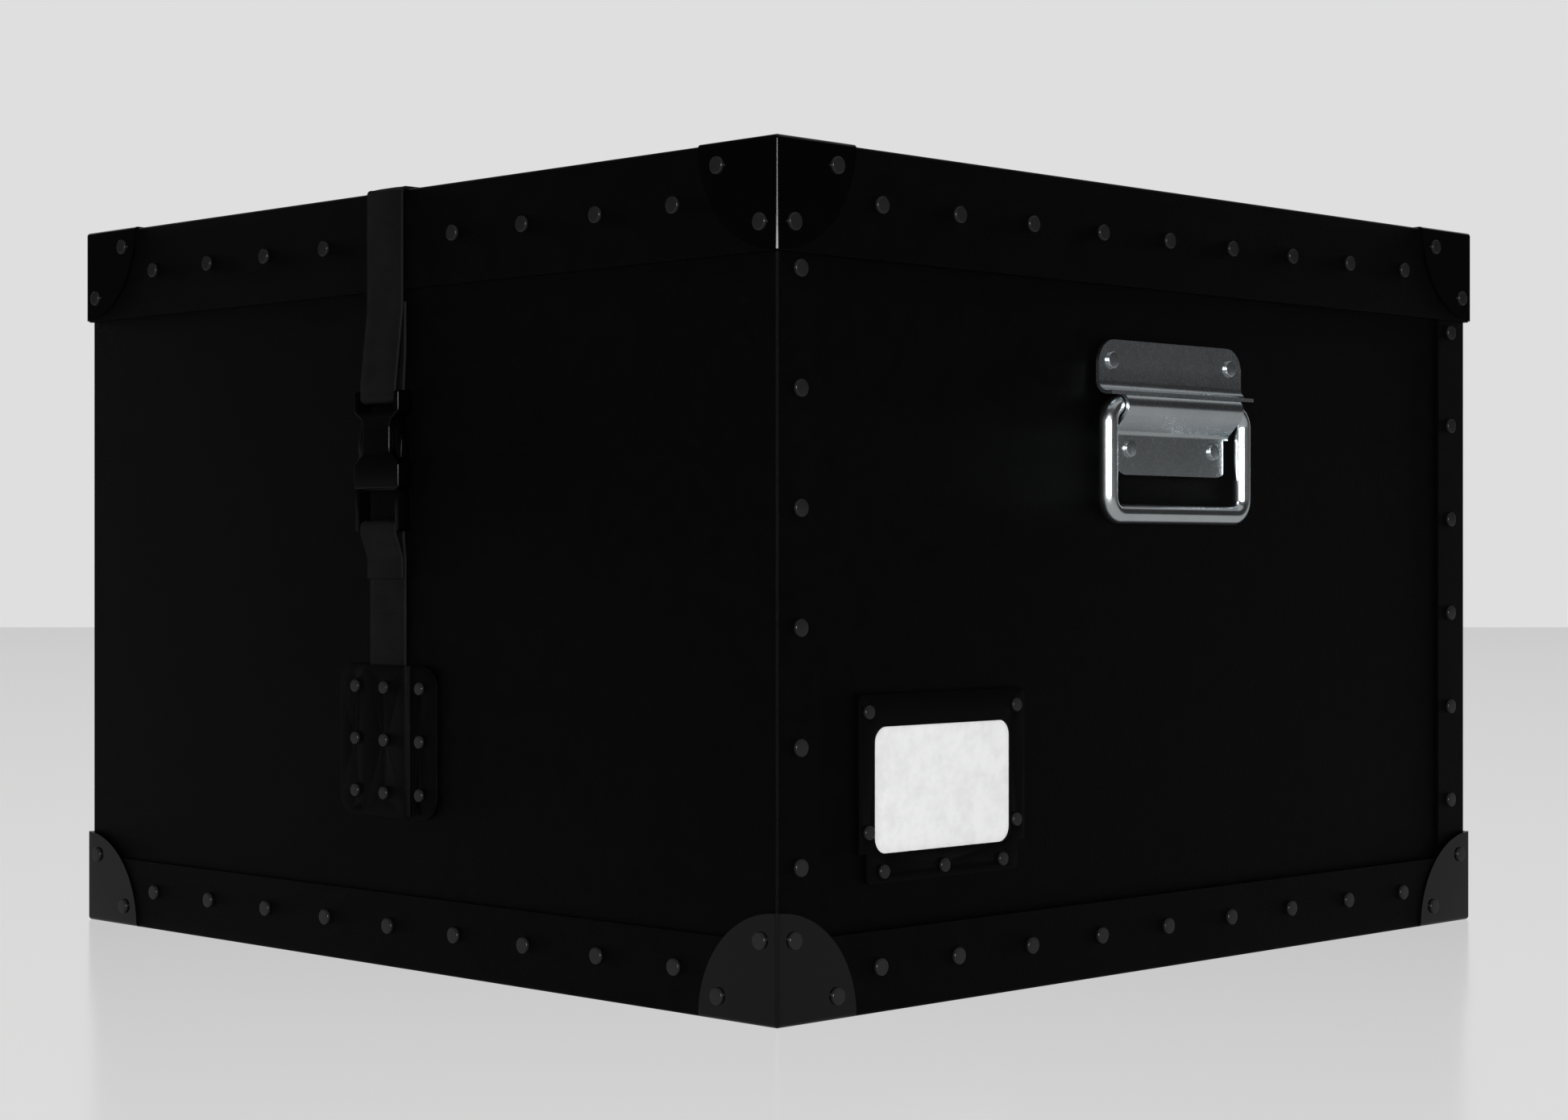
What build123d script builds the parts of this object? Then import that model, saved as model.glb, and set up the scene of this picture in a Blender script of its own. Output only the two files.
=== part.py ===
from build123d import *
import math
import os

# Fibre transit case: square body built on a pressed tray, drop-on lid, steel corner caps,
# a drop handle on each end, a card holder on one end and a webbing strap with
# side-release buckles at the front and the back. Origin: centre of the underside, +Z up.
# Front is -Y, right end is +X. All sizes in millimetres.

# ---- driving dimensions ----
overall_width = 500.0
overall_height = 350.0

cap_sheet = 0.8
cap_radius = 45.0
cap_edge_radius = 1.8

lid_sheet = 1.3
lid_rim_bottom = 304.5
lid_clearance = 0.5
batten_thickness = 12.0
batten_half_length = 199.0

wall_sheet = 1.5
wall_top = 312.0
fold_radius = 1.5
wrap_flange = 24.0

tray_sheet = 1.2
tray_band_top = 33.2

rivet_pitch = 47.35
rim_rivet_count = 9
seam_rivet_count = 6
seam_rivet_first = 61.8
seam_rivet_offset = 234.4
lid_rivet_height = 327.0
base_rivet_height = 18.5
cap_rivet_near = 9.5
cap_rivet_far = 33.8

shank_radius = 2.0
hole_clearance = 0.05
rivet_head_radius = 3.6
rivet_head_height = 1.3
rivet_tail_radius = 3.0
rivet_tail_height = 0.8

webbing_width = 26.0
webbing_thickness = 1.6
webbing_gap = 0.1
webbing_soft_bend = 8.0
webbing_bar_bend = 2.2
webbing_lid_bend = 2.1
lower_start_inset = 4.0
lower_bend_height = 184.0
plug_approach_height = 193.0
tail_drop = 2.4
tail_bend_height = 184.5
tail_end_height = 175.0
slack_height = 296.0
socket_approach_height = 262.0
return_bend_low = 263.0
return_bend_high = 276.0
return_end_height = 299.0
strap_rivet_offset = 18.0

patch_half_width = 35.4
patch_bottom = 67.8
patch_top = 136.0
patch_corner = 9.5
patch_sheet = 1.5
patch_channel_half = 15.0
patch_slope_inner = 0.8
patch_slope_outer = 1.6
patch_slope_top = 0.2
patch_rivet_step_x = 23.5
patch_rivet_heights = (78.5, 102.25, 126.0)
small_head_radius = 2.9
small_shank_radius = 1.5

handle_sheet = 1.6
handle_rise = 3.2
handle_end_radius = 3.8
handle_half_width = 52.0
handle_corner = 11.0
barrel_half_width = 42.0
lower_corner = 9.0
handle_top = 280.4
handle_bottom = 221.0
pivot_height = 251.2
pivot_reach = 7.4
bail_rod_radius = 4.25
bail_half_width = 48.7
bail_bottom = 203.6
bail_corner = 7.5
barrel_clearance = 0.5
barrel_leave_angle = -45.0
stop_lip_reach = 12.0
flare_radius = 5.6
backing_sheet = 1.6
backing_corner = 6.0
handle_head_radius = 3.8
handle_join = 0.2
lower_bend_radius = 3.4

label_centre = -149.7
label_sheet = 1.6
label_half_width = 51.25
label_top = 129.0
label_step = 64.5
label_corner = 2.5
flap_half_width = 46.75
flap_bottom = 52.0
window_half_width = 41.9
window_bottom = 64.0
window_top = 115.6
window_corner = 6.5
pocket_half_width = 43.9
pocket_depth = 0.8
pocket_bottom = 62.0
card_half_width = 43.5
card_top = 119.5
card_sheet = 0.5
card_play = 0.2
card_gap = 0.1

buckle_thickness = 8.0
buckle_corner = 1.2
buckle_edge = 0.8
socket_lift = 0.2
socket_bar_inset = 1.2
socket_slot_bottom = 249.6
socket_bottom = 215.3
socket_top = 259.3
socket_half_width = 16.3
waist_half_width = 9.7
cavity_half_width = 13.8
cavity_floor = 2.0
cavity_depth = 4.2
cavity_top = 247.6
bar_radius = 1.5
bar_reach = 4.2
slot_half_width = 13.2
plug_bottom = 196.3
plug_half_width = 15.7
plug_floor = 1.0
plug_thickness = 6.4
plug_corner = 1.0
plug_bar_inset = 0.2
plug_joint_gap = 0.2
tongue_play = 0.3
crossbar_bottom = 214.6
crossbar_top = 218.5
tongue_half_width = 1.8
tongue_top = 236.0
latch_shoulder = 229.0
latch_root_gap = 0.4

# ---- derived sizes ----
cap_outer = overall_width / 2
lid_outer = cap_outer - cap_sheet
lid_inner = lid_outer - lid_sheet
lid_top = overall_height - cap_sheet
lid_ceiling = lid_top - lid_sheet
body_outer = lid_inner - lid_clearance
wrap_inner = body_outer - wall_sheet
end_inner = wrap_inner - wall_sheet
tray_outer = body_outer + tray_sheet
base_cap_outer = tray_outer + cap_sheet
rim_positions = [rivet_pitch * (i - (rim_rivet_count - 1) / 2) for i in range(rim_rivet_count)]
seam_heights = [seam_rivet_first + rivet_pitch * i for i in range(seam_rivet_count)]

# each side: direction along the wall (to the right when facing it) and outward direction
sides = {
    "front": ((1, 0, 0), (0, -1, 0)),
    "right": ((0, 1, 0), (1, 0, 0)),
    "back": ((-1, 0, 0), (0, 1, 0)),
    "left": ((0, -1, 0), (-1, 0, 0)),
}
corners = {
    "front_left": (-1, -1),
    "front_right": (1, -1),
    "back_right": (1, 1),
    "back_left": (-1, 1),
}


# ---- placing helpers ----
def wall_plane(side, distance):
    """Plane on a side: local x along the wall, local y up, local z outward."""
    along, outward = sides[side]
    return Plane(origin=tuple(distance * c for c in outward), x_dir=along, z_dir=outward)


def section_plane(side):
    """Upright plane through the centre of a side: local x outward, local y up."""
    along, outward = sides[side]
    return Plane(origin=(0, 0, 0), x_dir=outward, z_dir=tuple(-c for c in along))


def wall_places(side, distance, points):
    """Locations on a side at the given outward distance, one for each (along, up) point."""
    plane = wall_plane(side, distance)
    return [plane.location * Location((along, up, 0)) for along, up in points]


def drill(places, radius, reach=12.0):
    """Cut a rivet hole through the current part at each place."""
    with Locations(*places):
        Cylinder(radius + hole_clearance, 2 * reach, mode=Mode.SUBTRACT)


def rivets(places, grip, head_radius=rivet_head_radius, shank=shank_radius):
    """Separate rivets: flat head on the outside, shank through the grip, clinched tail inside."""
    tail_radius = rivet_tail_radius * shank / shank_radius
    with BuildPart() as pattern:
        with BuildSketch(Plane.XZ):
            with BuildLine():
                Polyline(
                    (0, rivet_head_height),
                    (head_radius, rivet_head_height),
                    (head_radius, 0),
                    (shank, 0),
                    (shank, -grip),
                    (tail_radius, -grip),
                    (tail_radius, -grip - rivet_tail_height),
                    (0, -grip - rivet_tail_height),
                    close=True,
                )
            make_face()
        revolve(axis=Axis.Z)
        fillet(pattern.edges().group_by(Axis.Z)[-1], rivet_head_height / 2)
    with BuildPart() as group:
        with Locations(*places):
            add(pattern.part)
    return group.part


def write(part, name):
    """Label one finished sub-part and write its file."""
    part.label = name
    export_step(part, f"parts/{name}.step")


# ---- rivet places shared by the sheets and the rivets ----
def band_points():
    return [(along, base_rivet_height) for along in rim_positions]


def rim_points(side):
    """Lid rim rivets; at the front and back the middle one is left out under the strap."""
    covered = side in ("front", "back")
    return [(along, lid_rivet_height) for along in rim_positions if not (covered and along == 0)]


def seam_points():
    return [(sign * seam_rivet_offset, up) for sign in (-1, 1) for up in seam_heights]


def base_cap_points():
    near = base_cap_outer - cap_rivet_near
    far = base_cap_outer - cap_rivet_far
    return [(s * near, cap_rivet_far) for s in (-1, 1)] + [(s * far, cap_rivet_near) for s in (-1, 1)]


def lid_cap_points():
    near = cap_outer - cap_rivet_near
    far = cap_outer - cap_rivet_far
    low = overall_height - cap_rivet_far
    high = overall_height - cap_rivet_near
    return [(s * near, low) for s in (-1, 1)] + [(s * far, high) for s in (-1, 1)]


def patch_outer_points():
    return [(s * patch_rivet_step_x, up) for s in (-1, 1) for up in patch_rivet_heights]


def patch_middle_points():
    return [(0, up) for up in patch_rivet_heights]


handle_points = [(-42.9, 271.2), (42.9, 271.2), (-30.6, 232.6), (30.6, 232.6)]
label_points = [
    (label_centre - 45.7, 121.8),
    (label_centre + 45.7, 121.8),
    (label_centre - 45.7, 73.0),
    (label_centre + 45.7, 73.0),
    (label_centre - 36.8, 56.8),
    (label_centre, 56.8),
    (label_centre + 36.8, 56.8),
]
strap_top_points = [(0, -strap_rivet_offset), (0, strap_rivet_offset)]


# ---- body ----
def base_tray():
    """Pressed tray with an upturned band; shallow pockets under it take the corner caps."""
    with BuildPart() as tray:
        Box(
            2 * tray_outer,
            2 * tray_outer,
            tray_band_top,
            align=(Align.CENTER, Align.CENTER, Align.MIN),
        )
        fillet(tray.edges().filter_by(Axis.Z), fold_radius)
        fillet(tray.faces().sort_by(Axis.Z)[0].edges(), tray_sheet)
        with Locations((0, 0, tray_sheet)):
            Box(
                2 * body_outer,
                2 * body_outer,
                tray_band_top,
                align=(Align.CENTER, Align.CENTER, Align.MIN),
                mode=Mode.SUBTRACT,
            )
        with Locations(*[(x * base_cap_outer, y * base_cap_outer, 0) for x, y in corners.values()]):
            Cylinder(cap_radius + 0.2, 2 * cap_sheet, mode=Mode.SUBTRACT)
        for side in sides:
            drill(wall_places(side, body_outer, band_points() + base_cap_points()), shank_radius)
    return tray.part


def wrap_panel(side):
    """Front or back panel, folded round both upright edges on to the ends."""
    sign = -1 if side == "front" else 1
    height = wall_top - tray_sheet
    with BuildPart() as panel:
        with BuildSketch(Plane.XY.offset(tray_sheet)):
            with Locations((0, sign * (body_outer - wrap_flange / 2))):
                Rectangle(2 * body_outer, wrap_flange)
            with Locations((0, sign * (wrap_inner - wrap_flange / 2))):
                Rectangle(2 * wrap_inner, wrap_flange, mode=Mode.SUBTRACT)
        extrude(amount=height)
        folds = panel.edges().filter_by(Axis.Z).group_by(Axis.Y)[0 if sign < 0 else -1]
        fillet(folds, fold_radius)
        drill(wall_places(side, body_outer, band_points() + base_cap_points()), shank_radius)
        drill(wall_places(side, body_outer, patch_outer_points()), small_shank_radius)
        drill(wall_places(side, body_outer, patch_middle_points()), small_shank_radius)
        for end in ("right", "left"):
            drill(wall_places(end, body_outer, seam_points() + base_cap_points()), shank_radius, 4.0)
    return panel.part


def end_panel(side):
    """Flat end panel inside the folds of the front and back panels."""
    height = wall_top - tray_sheet
    plane = wall_plane(side, end_inner)
    with BuildPart() as panel:
        with BuildSketch(plane):
            with Locations((0, tray_sheet + height / 2)):
                Rectangle(2 * wrap_inner, height)
        extrude(amount=wall_sheet)
        points = band_points() + base_cap_points() + seam_points()
        drill(wall_places(side, body_outer, points), shank_radius)
        drill(wall_places(side, body_outer, handle_points), shank_radius)
        if side == "right":
            drill(wall_places(side, body_outer, label_points), small_shank_radius)
    return panel.part


def base_band_rivets():
    """Rivets through the band into the walls; the ends have a fold's thickness behind the band."""
    places = []
    for side in ("front", "back"):
        places += wall_places(side, tray_outer, band_points())
    short = rivets(places, tray_sheet + wall_sheet)
    places = []
    for side in ("right", "left"):
        places += wall_places(side, tray_outer, band_points())
    long = rivets(places, tray_sheet + 2 * wall_sheet)
    with BuildPart() as group:
        add(short)
        add(long)
    return group.part


def seam_rivets(end):
    places = wall_places(end, body_outer, seam_points())
    return rivets(places, 2 * wall_sheet)


def base_cap_rivets():
    places = []
    for side in ("front", "back"):
        places += wall_places(side, base_cap_outer, base_cap_points())
    short = rivets(places, cap_sheet + tray_sheet + wall_sheet)
    places = []
    for side in ("right", "left"):
        places += wall_places(side, base_cap_outer, base_cap_points())
    long = rivets(places, cap_sheet + tray_sheet + 2 * wall_sheet)
    with BuildPart() as group:
        add(short)
        add(long)
    return group.part


# ---- corner caps ----
def corner_cap(signs, half, edge_height, inward):
    """Pressed corner cap: three quarter-round leaves that meet at a rounded corner."""
    corner = Vector(signs[0] * half, signs[1] * half, edge_height)
    towards = Vector(-signs[0], -signs[1], inward)
    with BuildPart() as cap:
        with Locations(corner + towards * cap_radius):
            Box(2 * cap_radius, 2 * cap_radius, 2 * cap_radius)
        meeting = [
            edge
            for edge in cap.edges()
            if min((Vector(vertex) - corner).length for vertex in edge.vertices()) < 0.01
        ]
        fillet(meeting, cap_edge_radius)
        with Locations(corner + towards * (cap_radius + cap_sheet)):
            Box(2 * cap_radius, 2 * cap_radius, 2 * cap_radius, mode=Mode.SUBTRACT)
        with Locations(corner):
            Sphere(cap_radius, mode=Mode.INTERSECT)
        points = lid_cap_points() if inward < 0 else base_cap_points()
        for side in sides:
            drill(wall_places(side, half, points), shank_radius, 4.0)
    return cap.part


# ---- lid ----
def lid_tray():
    """Folded lid with a deep rim all round."""
    with BuildPart() as lid:
        with Locations((0, 0, lid_rim_bottom)):
            Box(
                2 * lid_outer,
                2 * lid_outer,
                lid_top - lid_rim_bottom,
                align=(Align.CENTER, Align.CENTER, Align.MIN),
            )
        fillet(lid.edges().filter_by(Axis.Z), fold_radius)
        fillet(lid.faces().sort_by(Axis.Z)[-1].edges(), lid_sheet)
        with Locations((0, 0, lid_rim_bottom)):
            Box(
                2 * lid_inner,
                2 * lid_inner,
                lid_ceiling - lid_rim_bottom,
                align=(Align.CENTER, Align.CENTER, Align.MIN),
                mode=Mode.SUBTRACT,
            )
        for side in sides:
            drill(wall_places(side, lid_inner, rim_points(side) + lid_cap_points()), shank_radius)
        with Locations(*[(x, y, lid_top) for x, y in strap_top_points]):
            Cylinder(shank_radius + hole_clearance, 12.0, mode=Mode.SUBTRACT)
    return lid.part


def lid_batten(side):
    """Wooden batten riveted inside one side of the rim; it rests on the top of the wall."""
    bottom = wall_top + 0.1
    with BuildPart() as batten:
        with BuildSketch(wall_plane(side, lid_inner)):
            with Locations((0, (bottom + lid_ceiling) / 2)):
                Rectangle(2 * batten_half_length, lid_ceiling - bottom)
        extrude(amount=-batten_thickness)
        drill(wall_places(side, lid_inner, rim_points(side)), shank_radius, 20.0)
    return batten.part


def lid_rim_rivets():
    places = []
    for side in sides:
        places += wall_places(side, lid_outer, rim_points(side))
    return rivets(places, lid_sheet + batten_thickness)


def lid_cap_rivets():
    places = []
    for side in sides:
        places += wall_places(side, cap_outer, lid_cap_points())
    return rivets(places, cap_sheet + lid_sheet)


# ---- handles ----
def lower_flange(side, top):
    """Lower flange, raised off the wall, its ends turned back to it and its corners rounded."""
    middle = wrap_inner + handle_rise + handle_sheet / 2
    half = barrel_half_width - handle_sheet / 2
    height = top - handle_bottom
    level = Plane(origin=(0, 0, handle_bottom), x_dir=sides[side][0], z_dir=(0, 0, 1))
    with BuildPart() as flange:
        with BuildSketch(level):
            with BuildLine():
                FilletPolyline(
                    (-half, -wrap_inner),
                    (-half, -middle),
                    (half, -middle),
                    (half, -wrap_inner),
                    radius=handle_end_radius,
                )
            trace(line_width=handle_sheet)
        extrude(amount=height)
        with BuildSketch(wall_plane(side, wrap_inner)):
            with Locations((0, handle_bottom + (height + lower_corner) / 2)):
                RectangleRounded(2 * barrel_half_width, height + lower_corner, lower_corner)
        extrude(amount=2 * stop_lip_reach, mode=Mode.INTERSECT)
    return flange.part


def handle_plate(side):
    """Pressed plate: upper flange, flared stop lip, barrel round the bail, lower flange."""
    middle = wrap_inner + handle_rise + handle_sheet / 2
    reach = wrap_inner + pivot_reach
    barrel_radius = bail_rod_radius + barrel_clearance + handle_sheet / 2
    lip_height = pivot_height + barrel_radius
    leave = math.radians(barrel_leave_angle)
    leave_x = reach + barrel_radius * math.cos(leave)
    leave_z = pivot_height + barrel_radius * math.sin(leave)
    land_z = leave_z - (leave_x - middle) / math.tan(-leave)
    lower_top = land_z - handle_sheet
    upper_height = handle_top - pivot_height
    with BuildPart() as plate:
        with BuildSketch(section_plane(side)):
            with BuildLine():
                FilletPolyline(
                    (middle, handle_top),
                    (middle, lip_height),
                    (wrap_inner + stop_lip_reach, lip_height),
                    radius=flare_radius,
                )
            trace(line_width=handle_sheet)
        extrude(amount=handle_half_width, both=True)
        with BuildSketch(wall_plane(side, wrap_inner)):
            with Locations((0, pivot_height + (upper_height - handle_corner) / 2)):
                RectangleRounded(
                    2 * handle_half_width,
                    upper_height + handle_corner,
                    handle_corner,
                )
        extrude(amount=2 * stop_lip_reach, mode=Mode.INTERSECT)
        add(lower_flange(side, lower_top))
        with BuildSketch(section_plane(side)):
            with BuildLine():
                Line((reach - 1.0, lip_height), (reach, lip_height))
                CenterArc((reach, pivot_height), barrel_radius, 90, barrel_leave_angle - 90)
                FilletPolyline(
                    (leave_x, leave_z),
                    (middle, land_z),
                    (middle, lower_top - handle_join),
                    radius=lower_bend_radius,
                )
            trace(line_width=handle_sheet)
        extrude(amount=barrel_half_width, both=True)
        drill(wall_places(side, wrap_inner, handle_points), shank_radius)
    return plate.part


def handle_bail(side):
    """Closed ring of round rod hanging in the barrel."""
    reach = wrap_inner + pivot_reach
    with BuildPart() as bail:
        with BuildLine(wall_plane(side, reach)):
            FilletPolyline(
                (-bail_half_width, pivot_height),
                (bail_half_width, pivot_height),
                (bail_half_width, bail_bottom),
                (-bail_half_width, bail_bottom),
                radius=bail_corner,
                close=True,
            )
        with BuildSketch(section_plane(side)):
            with Locations((reach, pivot_height)):
                Circle(bail_rod_radius)
        sweep()
    return bail.part


def handle_backing(side):
    """Flat plate behind the handle, inside the end panel."""
    plate_height = handle_top - handle_bottom
    with BuildPart() as plate:
        with BuildSketch(wall_plane(side, end_inner - backing_sheet)):
            with Locations((0, handle_bottom + plate_height / 2)):
                RectangleRounded(2 * handle_half_width, plate_height, backing_corner)
        extrude(amount=backing_sheet)
        drill(wall_places(side, end_inner, handle_points), shank_radius)
    return plate.part


def handle_rivets(side):
    places = wall_places(side, wrap_inner + handle_rise + handle_sheet, handle_points)
    grip = handle_rise + handle_sheet + wall_sheet + backing_sheet
    return rivets(places, grip, handle_head_radius)


# ---- card holder ----
def label_holder():
    """Frame with a window and a pocket behind it that is open at the top."""
    with BuildPart() as holder:
        with BuildSketch(wall_plane("right", wrap_inner)):
            with Locations((label_centre, (label_step + label_top) / 2)):
                Rectangle(2 * label_half_width, label_top - label_step)
            with Locations((label_centre, (flap_bottom + label_step) / 2)):
                Rectangle(2 * flap_half_width, label_step - flap_bottom)
        extrude(amount=label_sheet)
        fillet(holder.edges().filter_by(Axis.X).group_by(Axis.Z)[-1], label_corner)
        fillet(holder.edges().filter_by(Axis.X).group_by(Axis.Z)[0], label_corner)
        with BuildSketch(wall_plane("right", wrap_inner)):
            with Locations((label_centre, (window_bottom + window_top) / 2)):
                RectangleRounded(
                    2 * window_half_width,
                    window_top - window_bottom,
                    window_corner,
                )
        extrude(amount=label_sheet, mode=Mode.SUBTRACT)
        with BuildSketch(wall_plane("right", wrap_inner)):
            with Locations((label_centre, (pocket_bottom + label_top) / 2)):
                Rectangle(2 * pocket_half_width, label_top - pocket_bottom)
        extrude(amount=pocket_depth, mode=Mode.SUBTRACT)
        drill(wall_places("right", wrap_inner, label_points), small_shank_radius, 4.0)
    return holder.part


def label_card():
    """Blank card that slides up out of the pocket."""
    bottom = pocket_bottom + card_play
    with BuildPart() as card:
        with BuildSketch(wall_plane("right", wrap_inner + card_gap)):
            with Locations((label_centre, (bottom + card_top) / 2)):
                Rectangle(2 * card_half_width, card_top - bottom)
        extrude(amount=card_sheet)
    return card.part


def label_rivets():
    places = wall_places("right", wrap_inner + label_sheet, label_points)
    return rivets(places, label_sheet + wall_sheet, small_head_radius, small_shank_radius)


# ---- strap ----
def strap_lower(side):
    """Webbing from under the patch up to the plug, round its bar and back down on itself."""
    near = body_outer + webbing_gap + webbing_thickness / 2
    inner = body_outer + bar_reach - bar_radius - webbing_gap - webbing_thickness / 2
    outer = body_outer + bar_reach + bar_radius + webbing_gap + webbing_thickness / 2
    bar_height = plug_bottom + bar_radius + plug_bar_inset
    doubled = near + webbing_thickness + webbing_gap
    with BuildPart() as strap:
        with BuildSketch(section_plane(side)):
            with BuildLine():
                FilletPolyline(
                    (near, patch_bottom + lower_start_inset),
                    (near, lower_bend_height),
                    (inner, plug_approach_height),
                    (inner, bar_height),
                    radius=webbing_soft_bend,
                )
                CenterArc((body_outer + bar_reach, bar_height), (outer - inner) / 2, 180, -180)
                FilletPolyline(
                    (outer, bar_height),
                    (outer, bar_height - tail_drop),
                    (doubled, tail_bend_height),
                    (doubled, tail_end_height),
                    radius=webbing_bar_bend,
                )
            trace(line_width=webbing_thickness)
        extrude(amount=webbing_width / 2, both=True)
        drill(wall_places(side, body_outer, patch_middle_points()), small_shank_radius, 4.0)
    return strap.part


def strap_upper():
    """Webbing from the front socket, over the lid, down to the back socket."""
    on_lid = lid_outer + webbing_gap + webbing_thickness / 2
    over_lid = lid_top + webbing_gap + webbing_thickness / 2
    inner = body_outer + bar_reach - bar_radius - webbing_gap - webbing_thickness / 2
    outer = body_outer + bar_reach + bar_radius + webbing_gap + webbing_thickness / 2
    bar_height = socket_top - bar_radius - socket_bar_inset
    behind = on_lid - webbing_thickness - webbing_gap
    with BuildPart() as strap:
        for side in ("front", "back"):
            with BuildSketch(section_plane(side)):
                with BuildLine():
                    FilletPolyline(
                        (0, over_lid),
                        (on_lid, over_lid),
                        (on_lid, slack_height),
                        (outer, socket_approach_height),
                        (outer, bar_height),
                        radius=webbing_lid_bend,
                    )
                    CenterArc((body_outer + bar_reach, bar_height), (outer - inner) / 2, 0, -180)
                    FilletPolyline(
                        (inner, bar_height),
                        (inner, return_bend_low),
                        (behind, return_bend_high),
                        (behind, return_end_height),
                        radius=webbing_soft_bend,
                    )
                trace(line_width=webbing_thickness)
            extrude(amount=webbing_width / 2, both=True)
        with Locations(*[(x, y, lid_top) for x, y in strap_top_points]):
            Cylinder(shank_radius + hole_clearance, 12.0, mode=Mode.SUBTRACT)
    return strap.part


def strap_rivets():
    """Two rivets that hold the strap to the top of the lid."""
    head = lid_top + webbing_gap + webbing_thickness
    places = [Location((x, y, head)) for x, y in strap_top_points]
    return rivets(places, webbing_gap + webbing_thickness + lid_sheet)


def strap_patch(side):
    """Riveted patch with a raised channel that clamps the end of the webbing."""
    half = patch_channel_half
    rise = webbing_thickness + 2 * webbing_gap
    with BuildPart() as patch:
        with BuildSketch(Plane.XY.offset(patch_bottom)):
            near = body_outer
            sign = -1 if side == "front" else 1
            outline = [
                (-patch_half_width, near),
                (-half, near),
                (-half + patch_slope_inner, near + rise),
                (half - patch_slope_inner, near + rise),
                (half, near),
                (patch_half_width, near),
                (patch_half_width, near + patch_sheet),
                (half + patch_slope_outer, near + patch_sheet),
                (half - patch_slope_top, near + patch_sheet + rise),
                (-half + patch_slope_top, near + patch_sheet + rise),
                (-half - patch_slope_outer, near + patch_sheet),
                (-patch_half_width, near + patch_sheet),
            ]
            with BuildLine():
                Polyline([(x, sign * y) for x, y in outline], close=True)
            make_face()
        extrude(amount=patch_top - patch_bottom)
        with BuildSketch(wall_plane(side, body_outer)):
            with Locations((0, (patch_bottom + patch_top) / 2)):
                RectangleRounded(
                    2 * patch_half_width,
                    patch_top - patch_bottom,
                    patch_corner,
                )
        extrude(amount=8.0, mode=Mode.INTERSECT)
        drill(wall_places(side, body_outer, patch_outer_points()), small_shank_radius)
        drill(wall_places(side, body_outer, patch_middle_points()), small_shank_radius)
    return patch.part


def patch_backing(side):
    """Flat plate inside the wall that the patch rivets clinch on."""
    with BuildPart() as plate:
        with BuildSketch(wall_plane(side, wrap_inner - patch_sheet)):
            with Locations((0, (patch_bottom + patch_top) / 2)):
                RectangleRounded(
                    2 * patch_half_width,
                    patch_top - patch_bottom,
                    patch_corner,
                )
        extrude(amount=patch_sheet)
        drill(wall_places(side, wrap_inner, patch_outer_points()), small_shank_radius)
        drill(wall_places(side, wrap_inner, patch_middle_points()), small_shank_radius)
    return plate.part


def patch_rivets(side):
    rise = webbing_thickness + 2 * webbing_gap
    grip = 2 * patch_sheet + wall_sheet
    outer = rivets(
        wall_places(side, body_outer + patch_sheet, patch_outer_points()),
        grip,
        small_head_radius,
        small_shank_radius,
    )
    middle = rivets(
        wall_places(side, body_outer + patch_sheet + rise, patch_middle_points()),
        grip + rise,
        small_head_radius,
        small_shank_radius,
    )
    with BuildPart() as group:
        add(outer)
        add(middle)
    return group.part


# ---- side-release buckle ----
def buckle_socket(side):
    """Female half: collar, open waist and a slot with a bar for the upper webbing."""
    right_edge = [
        (socket_half_width, socket_bottom),
        (socket_half_width, 226.3),
        (waist_half_width + 0.3, 231.3),
        (waist_half_width, 233.5),
        (waist_half_width, 243.0),
        (waist_half_width + 1.2, 246.3),
        (socket_half_width, 249.9),
        (socket_half_width, socket_top),
    ]
    left_edge = [(-x, z) for x, z in reversed(right_edge)]
    bar_height = socket_top - bar_radius - socket_bar_inset
    with BuildPart() as socket:
        with BuildSketch(wall_plane(side, body_outer + socket_lift)) as outline:
            with BuildLine():
                Polyline(right_edge + left_edge, close=True)
            make_face()
            fillet(outline.vertices(), buckle_corner)
        extrude(amount=buckle_thickness)
        front_face = socket.faces().sort_by(Axis((0, 0, 0), sides[side][1]))[-1]
        fillet(front_face.edges(), buckle_edge)
        with BuildSketch(wall_plane(side, body_outer + cavity_floor)):
            with Locations((0, (socket_bottom + cavity_top) / 2)):
                Rectangle(2 * cavity_half_width, cavity_top - socket_bottom)
        extrude(amount=cavity_depth, mode=Mode.SUBTRACT)
        with BuildSketch(wall_plane(side, body_outer)):
            with Locations((0, (socket_slot_bottom + socket_top) / 2 + 5.0)):
                Rectangle(2 * slot_half_width, socket_top - socket_slot_bottom + 10.0)
        extrude(amount=2 * buckle_thickness, mode=Mode.SUBTRACT)
        with BuildSketch(section_plane(side)):
            with Locations((body_outer + bar_reach, bar_height)):
                Circle(bar_radius)
            with Locations((body_outer + bar_reach, (bar_height + socket_top) / 2)):
                Rectangle(2 * bar_radius, socket_top - bar_height)
        extrude(amount=slot_half_width + 1.0, both=True)
    return socket.part


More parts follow.
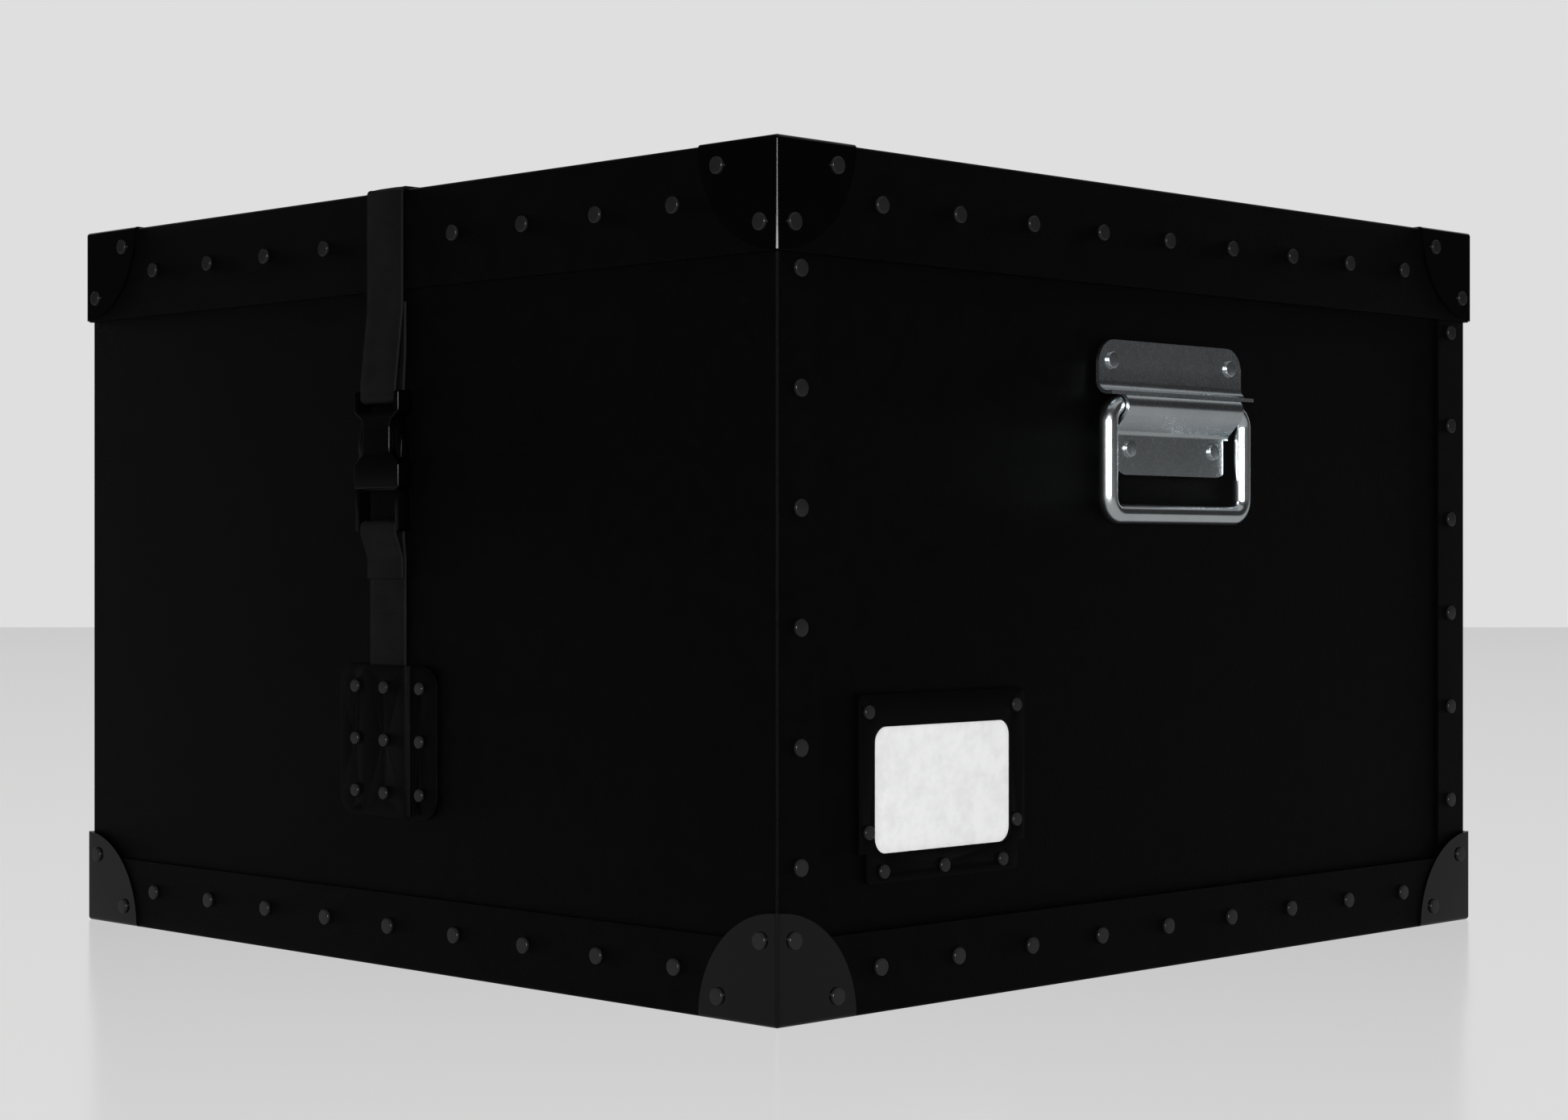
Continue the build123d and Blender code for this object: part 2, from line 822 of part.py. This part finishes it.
def buckle_plug(side):
    """Male half: open frame with a bar for the lower webbing, crossbar and guide tongue."""
    bar_height = plug_bottom + bar_radius + plug_bar_inset
    plug_top = socket_bottom - plug_joint_gap
    inside_floor = cavity_floor + tongue_play
    inside_thickness = cavity_depth - 2 * tongue_play
    with BuildPart() as plug:
        with BuildSketch(wall_plane(side, body_outer + plug_floor)) as frame:
            with Locations((0, (plug_bottom + plug_top) / 2)):
                Rectangle(2 * plug_half_width, plug_top - plug_bottom)
            fillet(frame.vertices(), plug_corner)
            with Locations((0, (plug_bottom + socket_bottom) / 2)):
                Rectangle(2 * slot_half_width, 40.0, mode=Mode.SUBTRACT)
        extrude(amount=plug_thickness)
        with BuildSketch(section_plane(side)):
            with Locations((body_outer + bar_reach, bar_height)):
                Circle(bar_radius)
            with Locations((body_outer + bar_reach, (bar_height + plug_bottom) / 2)):
                Rectangle(2 * bar_radius, bar_height - plug_bottom)
        extrude(amount=slot_half_width + 1.0, both=True)
        with BuildSketch(wall_plane(side, body_outer + inside_floor)):
            with Locations((0, (crossbar_bottom + crossbar_top) / 2)):
                Rectangle(2 * slot_half_width + 0.6, crossbar_top - crossbar_bottom)
            with Locations((0, (crossbar_bottom + tongue_top) / 2)):
                Rectangle(2 * tongue_half_width, tongue_top - crossbar_bottom)
        extrude(amount=inside_thickness)
    return plug.part


def latch_arm(side, hand):
    """Springy arm of the plug, with a shoulder that catches above the socket's collar."""
    outline = [
        (9.2, crossbar_top + latch_root_gap),
        (12.4, crossbar_top + latch_root_gap),
        (12.4, latch_shoulder - 0.5),
        (15.6, latch_shoulder),
        (16.0, 236.5),
        (13.6, 243.6),
        (11.4, 246.4),
        (9.6, 245.6),
        (9.0, 238.0),
    ]
    with BuildPart() as arm:
        with BuildSketch(wall_plane(side, body_outer + cavity_floor + tongue_play)):
            with BuildLine():
                Polyline([(hand * x, z) for x, z in outline], close=True)
            make_face()
        extrude(amount=cavity_depth - 2 * tongue_play)
    return arm.part


def main():
    os.makedirs("parts", exist_ok=True)
    write(base_tray(), "base_tray")
    write(wrap_panel("front"), "front_panel")
    write(wrap_panel("back"), "back_panel")
    write(end_panel("right"), "right_end_panel")
    write(end_panel("left"), "left_end_panel")
    write(base_band_rivets(), "base_band_rivets")
    write(base_cap_rivets(), "base_cap_rivets")
    for name, signs in corners.items():
        write(corner_cap(signs, base_cap_outer, 0, 1), f"base_cap_{name}")
        write(corner_cap(signs, cap_outer, overall_height, -1), f"lid_cap_{name}")
    write(lid_tray(), "lid_tray")
    write(lid_rim_rivets(), "lid_rim_rivets")
    write(lid_cap_rivets(), "lid_cap_rivets")
    write(strap_upper(), "strap_upper")
    write(strap_rivets(), "strap_rivets")
    for side in sides:
        write(lid_batten(side), f"lid_batten_{side}")
    for side in ("right", "left"):
        write(seam_rivets(side), f"seam_rivets_{side}")
        write(handle_plate(side), f"handle_plate_{side}")
        write(handle_bail(side), f"handle_bail_{side}")
        write(handle_backing(side), f"handle_backing_{side}")
        write(handle_rivets(side), f"handle_rivets_{side}")
    write(label_holder(), "label_holder")
    write(label_card(), "label_card")
    write(label_rivets(), "label_rivets")
    for side in ("front", "back"):
        write(strap_lower(side), f"strap_lower_{side}")
        write(strap_patch(side), f"strap_patch_{side}")
        write(patch_backing(side), f"patch_backing_{side}")
        write(patch_rivets(side), f"patch_rivets_{side}")
        write(buckle_socket(side), f"buckle_socket_{side}")
        write(buckle_plug(side), f"buckle_plug_{side}")
        write(latch_arm(side, 1), f"latch_arm_{side}_right")
        write(latch_arm(side, -1), f"latch_arm_{side}_left")


main()
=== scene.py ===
"""Looks of the fibre transit case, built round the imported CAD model. Metres, +Z up."""

import math

import bmesh
import bpy
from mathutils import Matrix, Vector


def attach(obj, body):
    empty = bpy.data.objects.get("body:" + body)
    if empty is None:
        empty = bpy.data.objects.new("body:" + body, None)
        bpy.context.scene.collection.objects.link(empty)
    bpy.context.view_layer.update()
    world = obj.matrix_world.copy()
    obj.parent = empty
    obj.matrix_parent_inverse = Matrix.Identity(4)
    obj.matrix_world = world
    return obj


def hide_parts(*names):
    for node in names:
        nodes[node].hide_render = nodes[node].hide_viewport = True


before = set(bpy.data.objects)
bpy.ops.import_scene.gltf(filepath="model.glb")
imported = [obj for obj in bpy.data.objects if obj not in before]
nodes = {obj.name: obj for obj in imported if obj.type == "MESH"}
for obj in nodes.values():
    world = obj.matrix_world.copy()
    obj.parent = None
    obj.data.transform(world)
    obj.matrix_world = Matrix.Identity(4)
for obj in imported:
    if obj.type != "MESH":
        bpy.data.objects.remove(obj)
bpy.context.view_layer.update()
MM = 0.001

# ---- view ----
CAMERA_PLACE = Vector((1063.0, -1059.2, 183.3)) * MM
CAMERA_LENS = 67.5
CAMERA_SENSOR = 36.0
CAMERA_NEAR = 0.01
CAMERA_FAR = 200.0
AZIMUTH = 45

# ---- stage ----
BACKDROP_GREY = 0.737
BACKDROP_SIZE = (16, 7)
BACKDROP_PLACE = (-4.6, 4.6, 3.5)
AMBIENT_GREY = 0.031
AMBIENT_COOLNESS = 1.04
FLOOR_SIZE = (60, 60)
FLOOR_GLOW = 0.37
FLOOR_MIRROR_IOR = 1.065
FLOOR_MIRROR_ROUGHNESS = 0.16

# ---- lights: place, point aimed at, width and height, watts ----
CASE_MIDDLE = (0, 0, 0.18)
LIGHTS = {
    "key": ((2.4, -2.4, 0.5), CASE_MIDDLE, (3.8, 0.42), 74),
    "edge": ((2.4, -2.4, 0.62), CASE_MIDDLE, (0.4, 1.0), 42),
    "top": ((0.6, 0.6, 3.0), (0, 0, 0), (4.5, 4.5), 22),
}

# ---- mesh finish of the CAD nodes ----
WELD_DISTANCE = 0.01 * MM
CREASE_ANGLE = math.radians(35)
EASED = ("buckle", "latch_arm", "strap_patch", "label_holder")
EDGE_EASE = 0.25 * MM
EASE_ANGLE = math.radians(50)
EASE_SEGMENTS = 3

# ---- webbing: cross-section ----
WEBBING_THICKNESS = 1.6 * MM
WEBBING_HALF_WIDTH = 13.0 * MM
THINNEST_SHARE = 0.35
RIB_PITCH = 1.1 * MM
RIB_DEPTH = 0.13 * MM
RIB_STEPS = 4
EDGE_CORD = 1.3 * MM
CORD_ROUNDING = 0.35 * MM
CORD_STEP = 0.2 * MM
ARC_STEPS = 10
CORNER_STEPS = 8

# ---- webbing: route of the band's middle, in millimetres ----
BAR_OUT = 251.6
LOOP_RADIUS = 2.4
LOOP_INSIDE = BAR_OUT - LOOP_RADIUS
LOOP_OUTSIDE = BAR_OUT + LOOP_RADIUS
PLUG_BAR_UP = 198.0
SOCKET_BAR_UP = 256.6
WALL_OUT = 248.3
TAIL_OUT = 250.0
LID_OUT = 250.1
LID_RETURN_OUT = 248.4
LID_TOP_UP = 350.1
GENTLE_BEND = 8.0
TAIL_BEND = 2.2
LID_EDGE_BEND = 2.1

# ---- sides: direction along the wall and direction out of it ----
SIDES = {
    "front": (Vector((1, 0, 0)), Vector((0, -1, 0))),
    "back": (Vector((-1, 0, 0)), Vector((0, 1, 0))),
}


# ---- node material helpers ----
def new_material(name):
    material = bpy.data.materials.new(name)
    material.use_nodes = True
    tree = material.node_tree
    return material, tree, tree.nodes["Principled BSDF"]


def place_coordinates(tree, stretch=(1, 1, 1)):
    """Coordinates in metres of the object's own frame, stretched."""
    source = tree.nodes.new("ShaderNodeTexCoord")
    mapping = tree.nodes.new("ShaderNodeMapping")
    mapping.inputs["Scale"].default_value = stretch
    tree.links.new(source.outputs["Object"], mapping.inputs["Vector"])
    return mapping.outputs["Vector"]


def noise(tree, vector, scale, detail=3.0, roughness=0.55):
    node = tree.nodes.new("ShaderNodeTexNoise")
    node.inputs["Scale"].default_value = scale
    node.inputs["Detail"].default_value = detail
    node.inputs["Roughness"].default_value = roughness
    tree.links.new(vector, node.inputs["Vector"])
    return node.outputs["Fac"]


def ramp(tree, factor, stops):
    node = tree.nodes.new("ShaderNodeValToRGB")
    elements = node.color_ramp.elements
    while len(elements) < len(stops):
        elements.new(0.5)
    for element, (position, shade) in zip(elements, stops):
        element.position = position
        element.color = (*shade, 1) if isinstance(shade, tuple) else (shade, shade, shade, 1)
    tree.links.new(factor, node.inputs["Fac"])
    return node.outputs["Color"]


def bump(tree, shader, height, strength, distance, previous=None):
    node = tree.nodes.new("ShaderNodeBump")
    node.inputs["Strength"].default_value = strength
    node.inputs["Distance"].default_value = distance
    tree.links.new(height, node.inputs["Height"])
    if previous is not None:
        tree.links.new(previous, node.inputs["Normal"])
    tree.links.new(node.outputs["Normal"], shader.inputs["Normal"])
    return node.outputs["Normal"]


# ---- materials ----
def fibre_material():
    """Vulcanised fibre: near-black, matt, with a fine pressed grain."""
    material, tree, shader = new_material("fibre")
    vector = place_coordinates(tree)
    grain = noise(tree, vector, 1500, 4, 0.7)
    mottle = noise(tree, vector, 110, 3)
    tree.links.new(
        ramp(tree, mottle, [(0.3, (0.0006, 0.0006, 0.0006)), (0.7, (0.0011, 0.0011, 0.0012))]),
        shader.inputs["Base Color"],
    )
    tree.links.new(ramp(tree, grain, [(0.3, 0.27), (0.7, 0.46)]), shader.inputs["Roughness"])
    shader.inputs["Specular IOR Level"].default_value = 0.034
    coarse = bump(tree, shader, mottle, 0.25, 0.0003)
    bump(tree, shader, grain, 0.9, 0.00028, coarse)
    return material


def enamel_material(name, low, high, roughness, specular):
    """Enamelled steel with a trace of orange peel."""
    material, tree, shader = new_material(name)
    vector = place_coordinates(tree)
    peel = noise(tree, vector, 420, 2)
    shade = noise(tree, vector, 60, 3)
    tree.links.new(ramp(tree, shade, [(0.3, low), (0.7, high)]), shader.inputs["Base Color"])
    tree.links.new(
        ramp(tree, peel, [(0.3, roughness * 0.85), (0.7, roughness * 1.15)]),
        shader.inputs["Roughness"],
    )
    shader.inputs["Specular IOR Level"].default_value = specular
    bump(tree, shader, peel, 0.10, 0.00006)
    return material


def steel_material(name, low, high, roughness):
    """Zinc-plated steel: soft cloudy tone and very fine drawing marks."""
    material, tree, shader = new_material(name)
    shader.inputs["Metallic"].default_value = 1.0
    vector = place_coordinates(tree)
    cloud = noise(tree, vector, 45, 3)
    marks = noise(tree, vector, 900, 4, 0.7)
    tree.links.new(ramp(tree, cloud, [(0.3, low), (0.7, high)]), shader.inputs["Base Color"])
    tree.links.new(
        ramp(tree, marks, [(0.3, roughness * 0.85), (0.7, roughness * 1.2)]),
        shader.inputs["Roughness"],
    )
    bump(tree, shader, marks, 0.06, 0.00004)
    return material


def webbing_material():
    """Polypropylene webbing: fine warp and weft threads over the modelled ribs."""
    material, tree, shader = new_material("webbing")
    vector = place_coordinates(tree)
    fuzz = noise(tree, vector, 1600, 3, 0.7)
    tone = noise(tree, vector, 90, 3)
    tree.links.new(
        ramp(tree, tone, [(0.3, (0.0050, 0.0050, 0.0051)), (0.7, (0.0068, 0.0068, 0.0070))]),
        shader.inputs["Base Color"],
    )
    tree.links.new(ramp(tree, fuzz, [(0.3, 0.5), (0.7, 0.75)]), shader.inputs["Roughness"])
    shader.inputs["Specular IOR Level"].default_value = 0.06
    bump(tree, shader, fuzz, 0.5, 0.00012)
    return material


def plastic_material():
    """Moulded acetal with a faint spark-eroded texture."""
    material, tree, shader = new_material("buckle_plastic")
    vector = place_coordinates(tree)
    spark = noise(tree, vector, 1300, 3, 0.6)
    tone = noise(tree, vector, 150, 2)
    tree.links.new(
        ramp(tree, tone, [(0.3, (0.0003, 0.0003, 0.0003)), (0.7, (0.0005, 0.0005, 0.0005))]),
        shader.inputs["Base Color"],
    )
    tree.links.new(ramp(tree, spark, [(0.3, 0.17), (0.7, 0.25)]), shader.inputs["Roughness"])
    shader.inputs["Specular IOR Level"].default_value = 0.10
    bump(tree, shader, spark, 0.12, 0.00005)
    return material


def wood_material():
    """Planed softwood batten with grain along its length."""
    material, tree, shader = new_material("batten_wood")
    vector = place_coordinates(tree, (1, 1, 9))
    rings = noise(tree, vector, 22, 4, 0.6)
    pores = noise(tree, vector, 700, 3)
    tree.links.new(
        ramp(tree, rings, [(0.35, (0.36, 0.22, 0.11)), (0.65, (0.62, 0.44, 0.26))]),
        shader.inputs["Base Color"],
    )
    tree.links.new(ramp(tree, pores, [(0.3, 0.55), (0.7, 0.75)]), shader.inputs["Roughness"])
    bump(tree, shader, pores, 0.2, 0.0001)
    return material


def card_material():
    """White card with a slight mottle."""
    material, tree, shader = new_material("card")
    vector = place_coordinates(tree)
    blotch = noise(tree, vector, 120, 4, 0.65)
    fibres = noise(tree, vector, 2200, 3)
    tree.links.new(
        ramp(tree, blotch, [(0.35, (0.80, 0.80, 0.80)), (0.6, (0.88, 0.88, 0.88))]),
        shader.inputs["Base Color"],
    )
    tree.links.new(ramp(tree, fibres, [(0.3, 0.55), (0.7, 0.7)]), shader.inputs["Roughness"])
    bump(tree, shader, fibres, 0.08, 0.00004)
    return material


MATERIALS = {
    "fibre": fibre_material(),
    "cap": enamel_material("cap_enamel", (0.0003,) * 3, (0.0005,) * 3, 0.11, 0.26),
    "rivet": enamel_material("rivet_finish", (0.0105,) * 3, (0.0140,) * 3, 0.22, 0.22),
    "holder": enamel_material("holder_enamel", (0.0006,) * 3, (0.0010,) * 3, 0.42, 0.05),
    "handle": steel_material("handle_zinc", (0.50, 0.54, 0.56), (0.56, 0.60, 0.62), 0.24),
    "bail": steel_material("bail_zinc", (0.62, 0.66, 0.68), (0.68, 0.72, 0.74), 0.22),
    "backing": steel_material("backing_zinc", (0.40, 0.41, 0.42), (0.52, 0.53, 0.54), 0.38),
    "webbing": webbing_material(),
    "plastic": plastic_material(),
    "wood": wood_material(),
    "card": card_material(),
}


def material_of(node):
    """Which material a CAD node gets, by its name."""
    if node.startswith("handle_rivets"):
        return "handle"
    if "rivets" in node:
        return "rivet"
    if "_cap_" in node:
        return "cap"
    for start, material in (
        ("strap_lower", "webbing"),
        ("strap_upper", "webbing"),
        ("buckle", "plastic"),
        ("latch_arm", "plastic"),
        ("lid_batten", "wood"),
        ("handle_plate", "handle"),
        ("handle_backing", "backing"),
        ("patch_backing", "backing"),
        ("handle_bail", "bail"),
        ("label_holder", "holder"),
        ("label_card", "card"),
    ):
        if node.startswith(start):
            return material
    return "fibre"


def dress_cad_nodes():
    """Gives every CAD node its material, welds its split vertices, eases the sharp edges of
    the moulded and pressed pieces and smooths the rounded parts."""
    for name, piece in nodes.items():
        piece.data.materials.clear()
        piece.data.materials.append(MATERIALS[material_of(name)])
        weld = piece.modifiers.new("weld", "WELD")
        weld.merge_threshold = WELD_DISTANCE
        for polygon in piece.data.polygons:
            polygon.use_smooth = True
        if name.startswith(EASED):
            ease = piece.modifiers.new("ease", "BEVEL")
            ease.width = EDGE_EASE
            ease.segments = EASE_SEGMENTS
            ease.limit_method = "ANGLE"
            ease.angle_limit = EASE_ANGLE
            ease.harden_normals = True
        split = piece.modifiers.new("crease", "EDGE_SPLIT")
        split.split_angle = CREASE_ANGLE


# ---- webbing ----
def arc(centre, radius, start, sweep):
    """Points of an arc in the (outward, up) plane, in millimetres and degrees."""
    angles = [math.radians(start + sweep * i / ARC_STEPS) for i in range(ARC_STEPS + 1)]
    return [(centre[0] + radius * math.cos(a), centre[1] + radius * math.sin(a)) for a in angles]


def rounded(points, radius):
    """A polyline in the plane with its inner corners rounded."""
    path = [points[0]]
    for before, corner, after in zip(points, points[1:], points[2:]):
        corner_v = Vector(corner)
        to_before = (Vector(before) - corner_v).normalized()
        to_after = (Vector(after) - corner_v).normalized()
        half = to_before.angle(to_after) / 2
        reach = radius / math.tan(half)
        start = corner_v + to_before * reach
        end = corner_v + to_after * reach
        for i in range(CORNER_STEPS + 1):
            t = i / CORNER_STEPS
            curve = (1 - t) ** 2 * start + 2 * t * (1 - t) * corner_v + t ** 2 * end
            path.append(tuple(curve))
    path.append(points[-1])
    return path


def even_path(points, step):
    """The polyline resampled at an even step: places and unit directions."""
    lengths = [0.0]
    for a, b in zip(points, points[1:]):
        lengths.append(lengths[-1] + math.dist(a, b))
    count = max(2, round(lengths[-1] / step))
    places = []
    segment = 0
    for i in range(count + 1):
        at = lengths[-1] * i / count
        while segment < len(points) - 2 and lengths[segment + 1] < at:
            segment += 1
        span = lengths[segment + 1] - lengths[segment]
        t = (at - lengths[segment]) / span if span else 0
        a, b = points[segment], points[segment + 1]
        places.append(Vector((a[0] + (b[0] - a[0]) * t, a[1] + (b[1] - a[1]) * t)))
    directions = []
    for i in range(len(places)):
        ahead = places[min(i + 1, len(places) - 1)]
        behind = places[max(i - 1, 0)]
        directions.append((ahead - behind).normalized())
    return places, directions


def webbing_band(name, side, path, node, body):
    """Woven band along a path of (outward, up) points: cross ribs between two smooth edge cords."""
    along, outward = SIDES[side]
    up = Vector((0, 0, 1))
    places, directions = even_path([(x * MM, y * MM) for x, y in path], RIB_PITCH / RIB_STEPS)
    half = WEBBING_HALF_WIDTH
    core = half - EDGE_CORD
    # Each column: its place across the band, its share of the full swell, and whether it is ribbed.
    columns = [
        (-half, 0.0, 0),
        (-half + CORD_ROUNDING, 0.8, 0),
        (-core - CORD_STEP, 0.8, 0),
        (-core, 0.6, 1),
        (-core / 2, 1.0, 1),
        (0.0, 1.0, 1),
        (core / 2, 1.0, 1),
        (core, 0.6, 1),
        (core + CORD_STEP, 0.8, 0),
        (half - CORD_ROUNDING, 0.8, 0),
        (half, 0.0, 0),
    ]
    across = len(columns)
    points = []
    for i, (place, direction) in enumerate(zip(places, directions)):
        normal = Vector((direction.y, -direction.x))
        wave = 0.5 - 0.5 * math.cos(2 * math.pi * i / RIB_STEPS)
        for face in (1, -1):
            for u, swell, ribbed in columns:
                share = THINNEST_SHARE + (1 - THINNEST_SHARE) * swell
                thick = WEBBING_THICKNESS / 2 * share - ribbed * RIB_DEPTH * wave
                spot = place + normal * face * thick
                points.append(along * u + outward * spot.x + up * spot.y)
    ring = 2 * across
    faces = []
    for i in range(len(places) - 1):
        for k in range(across - 1):
            a = i * ring + k
            faces.append((a, a + 1, a + ring + 1, a + ring))
            b = a + across
            faces.append((b + 1, b, b + ring, b + ring + 1))
        for k in (0, across - 1):
            a = i * ring + k
            b = a + across
            faces.append((a, a + ring, b + ring, b) if k == 0 else (b, b + ring, a + ring, a))
    for i in (0, len(places) - 1):
        first = i * ring
        loop = list(range(first, first + across))
        loop += range(first + ring - 1, first + across - 1, -1)
        faces.append(loop if i else loop[::-1])
    mesh = bpy.data.meshes.new(name)
    mesh.from_pydata(points, [], faces)
    band = bpy.data.objects.new(name, mesh)
    bpy.context.collection.objects.link(band)
    tidy = bmesh.new()
    tidy.from_mesh(mesh)
    bmesh.ops.recalc_face_normals(tidy, faces=tidy.faces)
    tidy.to_mesh(mesh)
    tidy.free()
    mesh.materials.append(MATERIALS["webbing"])
    for polygon in mesh.polygons:
        polygon.use_smooth = True
    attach(band, body)
    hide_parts(node)


def webbing():
    """Lower bands round the plugs' bars, and one upper band over the lid between the sockets."""
    for side in ("front", "back"):
        up_the_wall = [
            (WALL_OUT, 71.8),
            (WALL_OUT, 184.0),
            (LOOP_INSIDE, 193.0),
            (LOOP_INSIDE, PLUG_BAR_UP),
        ]
        tail = [
            (LOOP_OUTSIDE, PLUG_BAR_UP),
            (LOOP_OUTSIDE, 195.6),
            (TAIL_OUT, 184.5),
            (TAIL_OUT, 175.0),
        ]
        lower = rounded(up_the_wall, GENTLE_BEND)
        lower += arc((BAR_OUT, PLUG_BAR_UP), LOOP_RADIUS, 180, -180)
        lower += rounded(tail, TAIL_BEND)
        webbing_band(f"webbing_lower_{side}", side, lower, f"strap_lower_{side}", "root")
    over_the_lid = [
        (0.0, LID_TOP_UP),
        (LID_OUT, LID_TOP_UP),
        (LID_OUT, 296.0),
        (LOOP_OUTSIDE, 262.0),
        (LOOP_OUTSIDE, SOCKET_BAR_UP),
    ]
    turned_back = [
        (LOOP_INSIDE, SOCKET_BAR_UP),
        (LOOP_INSIDE, 263.0),
        (LID_RETURN_OUT, 276.0),
        (LID_RETURN_OUT, 299.0),
    ]
    half = rounded(over_the_lid, LID_EDGE_BEND)
    half += arc((BAR_OUT, SOCKET_BAR_UP), LOOP_RADIUS, 0, -180)
    half += rounded(turned_back, GENTLE_BEND)
    whole = [(-x, z) for x, z in reversed(half[1:])] + half
    webbing_band("webbing_upper", "front", whole, "strap_upper", "lid")


# ---- surroundings ----
def grey_glow(tree, kind, shade, blue_share=1.0):
    """Even grey light from a Background or Emission node."""
    node = tree.nodes.new(kind)
    node.inputs["Color"].default_value = (shade, shade, shade * blue_share, 1)
    return node.outputs[0]


def camera_sees(tree, output, seen, otherwise):
    """Shows one shader to the camera and lights the object with the other."""
    path = tree.nodes.new("ShaderNodeLightPath")
    mix = tree.nodes.new("ShaderNodeMixShader")
    tree.links.new(path.outputs["Is Camera Ray"], mix.inputs["Fac"])
    tree.links.new(otherwise, mix.inputs[1])
    tree.links.new(seen, mix.inputs[2])
    tree.links.new(mix.outputs["Shader"], output.inputs["Surface"])


def stage():
    """Pale, faintly mirroring floor, a backdrop and dim grey surroundings."""
    world = bpy.data.worlds.new("surroundings")
    bpy.context.scene.world = world
    world.use_nodes = True
    tree = world.node_tree
    tree.nodes.clear()
    output = tree.nodes.new("ShaderNodeOutputWorld")
    seen = grey_glow(tree, "ShaderNodeBackground", BACKDROP_GREY)
    ambient = grey_glow(tree, "ShaderNodeBackground", AMBIENT_GREY, AMBIENT_COOLNESS)
    camera_sees(tree, output, seen, ambient)

    floor = flat_panel("floor", FLOOR_SIZE, (0, 0, 0), (0, 0, 0))
    tree, output = bare_material(floor)
    gloss = tree.nodes.new("ShaderNodeBsdfGlossy")
    gloss.inputs["Roughness"].default_value = FLOOR_MIRROR_ROUGHNESS
    grazing = tree.nodes.new("ShaderNodeFresnel")
    grazing.inputs["IOR"].default_value = FLOOR_MIRROR_IOR
    seen = tree.nodes.new("ShaderNodeMixShader")
    tree.links.new(grazing.outputs["Fac"], seen.inputs["Fac"])
    tree.links.new(grey_glow(tree, "ShaderNodeEmission", BACKDROP_GREY), seen.inputs[1])
    tree.links.new(gloss.outputs["BSDF"], seen.inputs[2])
    dim = grey_glow(tree, "ShaderNodeEmission", FLOOR_GLOW)
    camera_sees(tree, output, seen.outputs["Shader"], dim)

    backdrop = flat_panel("backdrop", BACKDROP_SIZE, BACKDROP_PLACE, (90, 0, AZIMUTH))
    tree, output = bare_material(backdrop)
    glow = grey_glow(tree, "ShaderNodeEmission", BACKDROP_GREY)
    tree.links.new(glow, output.inputs["Surface"])


def flat_panel(name, size, place, turn_degrees):
    """Flat panel of the stage, not part of the object."""
    x, y = size[0] / 2, size[1] / 2
    mesh = bpy.data.meshes.new(name)
    mesh.from_pydata([(-x, -y, 0), (x, -y, 0), (x, y, 0), (-x, y, 0)], [], [(0, 1, 2, 3)])
    panel = bpy.data.objects.new(name, mesh)
    bpy.context.collection.objects.link(panel)
    panel.location = place
    panel.rotation_euler = [math.radians(angle) for angle in turn_degrees]
    return panel


def bare_material(panel):
    """Empty node material on a stage panel: its tree and its output node."""
    material = bpy.data.materials.new(panel.name)
    material.use_nodes = True
    material.node_tree.nodes.clear()
    panel.data.materials.append(material)
    return material.node_tree, material.node_tree.nodes.new("ShaderNodeOutputMaterial")


def soft_light(name, place, aim, size, watts):
    """Rectangular light turned towards the point it is aimed at."""
    light = bpy.data.lights.new(name, "AREA")
    light.shape = "RECTANGLE"
    light.size, light.size_y = size
    light.energy = watts
    lamp = bpy.data.objects.new(name, light)
    bpy.context.collection.objects.link(lamp)
    lamp.location = place
    lamp.rotation_euler = (Vector(aim) - Vector(place)).to_track_quat("-Z", "Y").to_euler()


def camera():
    """Level camera on the front right corner's diagonal."""
    data = bpy.data.cameras.new("camera")
    data.lens = CAMERA_LENS
    data.sensor_width = CAMERA_SENSOR
    data.clip_start = CAMERA_NEAR
    data.clip_end = CAMERA_FAR
    shot = bpy.data.objects.new("camera", data)
    bpy.context.collection.objects.link(shot)
    shot.location = CAMERA_PLACE
    shot.rotation_euler = (math.radians(90), 0, math.radians(AZIMUTH))
    bpy.context.scene.camera = shot


camera()
stage()
for name, light in LIGHTS.items():
    soft_light(name, *light)
dress_cad_nodes()
webbing()
bpy.context.scene.view_settings.view_transform = "Standard"
